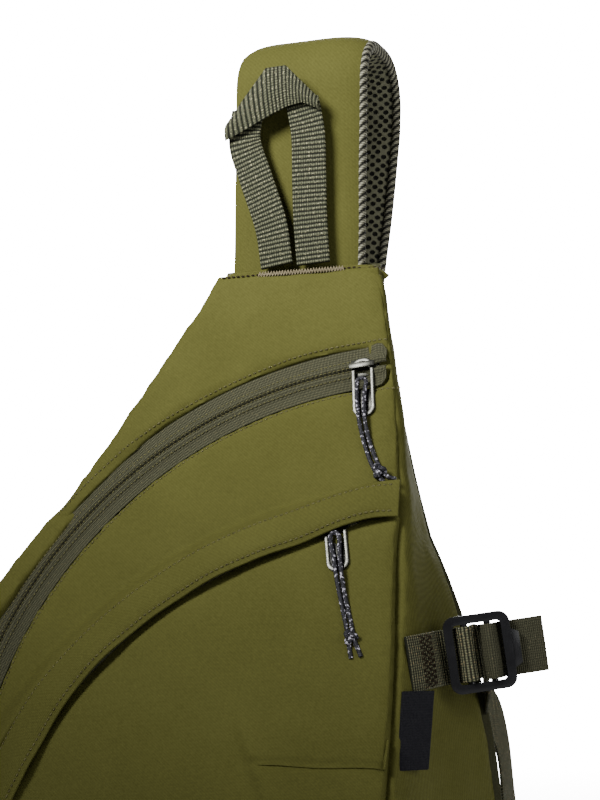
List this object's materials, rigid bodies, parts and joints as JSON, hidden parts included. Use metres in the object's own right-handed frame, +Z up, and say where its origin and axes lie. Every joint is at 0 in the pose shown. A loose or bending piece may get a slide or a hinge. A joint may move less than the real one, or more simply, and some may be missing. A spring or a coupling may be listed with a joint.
{
  "type": "sling bag",
  "caption": "Teardrop one-strap sling bag with a curved main zip, a zipped front pocket under a storm flap, a padded mesh-lined strap, a webbing grab handle and a ladder-lock adjuster.",
  "frame": {"origin": "on the floor under the middle of the flat base, where the bag stands", "axes": "+Z up from the base to the strap, -Y out of the front with its zips, +X to the side with the ladder lock"},
  "size_m": [0.2973, 0.1826, 0.4765],
  "materials": {
    "olive_nylon": "fine matt weave with a slight sheen",
    "zip_tape": "woven tape",
    "webbing": "ribbed webbing",
    "air_mesh": "open spacer mesh",
    "foam": "closed-cell foam",
    "lining": "coated lining",
    "coil": "nylon coil",
    "gunmetal": "satin plated zinc",
    "black_plastic": "moulded acetal",
    "pull_cord": "braided cord with pale flecks",
    "label": "blank woven tab"
  },
  "bodies": {
    "bag": {"upper_front_panel": "olive_nylon", "main_front_panel": "olive_nylon", "front_pocket_panel": "olive_nylon", "storm_flap": "olive_nylon", "pocket_top_wall": "olive_nylon", "top_panel": "olive_nylon", "right_gusset": "olive_nylon", "bottom_panel": "olive_nylon", "left_gusset": "olive_nylon", "back_lining": "lining", "back_foam": "foam", "back_mesh": "air_mesh", "strap_front_cover": "olive_nylon", "strap_front_foam": "foam", "strap_front_mesh": "air_mesh", "strap_bend_cover": "olive_nylon", "strap_bend_foam": "foam", "strap_bend_mesh": "air_mesh", "strap_webbing": "webbing", "side_stub": "webbing", "side_label": "label", "main_zip_upper_tape": "zip_tape", "main_zip_lower_tape": "zip_tape", "main_zip_upper_coil": "coil", "main_zip_lower_coil": "coil", "main_zip_stops": "gunmetal", "pocket_zip_upper_tape": "zip_tape", "pocket_zip_lower_tape": "zip_tape", "pocket_zip_upper_coil": "coil", "pocket_zip_lower_coil": "coil", "pocket_zip_stops": "gunmetal"},
    "main_slider": {"main_zip_slider": "gunmetal"},
    "main_pull": {"main_zip_puller": "gunmetal", "main_zip_cord": "pull_cord", "main_zip_knot": "pull_cord"},
    "pocket_slider": {"pocket_zip_slider": "gunmetal"},
    "pocket_pull": {"pocket_zip_puller": "gunmetal", "pocket_zip_cord": "pull_cord", "pocket_zip_knot": "pull_cord"},
    "handle": {"grab_handle": "webbing"},
    "strap": {"strap_rear_cover": "olive_nylon", "strap_rear_foam": "foam", "strap_rear_mesh": "air_mesh"},
    "lock": {"ladder_lock": "black_plastic", "webbing_tail": "webbing"}
  },
  "joints": [
    {"name": "main_slider_travel", "type": "hinge", "parent": "bag", "child": "main_slider", "pos_m": [0.092, -0.0339, 0.1107], "axis": [0, -0.9627, 0.2704], "range_deg": [0, 95], "deforming": ["main_zip_cord", "main_zip_knot"]},
    {"name": "main_puller_swing", "type": "hinge", "parent": "main_slider", "child": "main_pull", "pos_m": [0.06616, 0.023, 0.3133], "axis": [0, -0.9627, 0.2704], "range_deg": [-110, 12]},
    {"name": "pocket_slider_travel", "type": "hinge", "parent": "bag", "child": "pocket_slider", "pos_m": [0.1, -0.0665, 0.0521], "axis": [0, -0.948, 0.3181], "range_deg": [0, 80]},
    {"name": "pocket_puller_swing", "type": "hinge", "parent": "pocket_slider", "child": "pocket_pull", "pos_m": [0.06127, -0.0031, 0.2411], "axis": [0, -0.948, 0.3181], "range_deg": [-15, 15]},
    {"name": "grab_handle_swing", "type": "hinge", "parent": "bag", "child": "handle", "pos_m": [0.021, 0.03575, 0.367], "axis": [1, 0, 0], "range_deg": [0, 150]},
    {"name": "shoulder_strap_swing", "type": "hinge", "parent": "bag", "child": "strap", "pos_m": [0.028, 0.072, 0.449], "axis": [1, 0, 0], "range_deg": [0, 45], "deforming": ["strap_bend_cover", "strap_bend_foam", "strap_bend_mesh", "strap_webbing"]},
    {"name": "ladder_lock_tilt", "type": "hinge", "parent": "bag", "child": "lock", "pos_m": [0.11927, 0.01144, 0.18061], "axis": [-0.1389, -0.0506, 0.989], "range_deg": [-25, 30], "deforming": ["side_stub"]}
  ],
  "couplings": [
    {"joint": "main_puller_swing", "follows": "main_slider_travel", "ratio": -1.15}
  ]
}
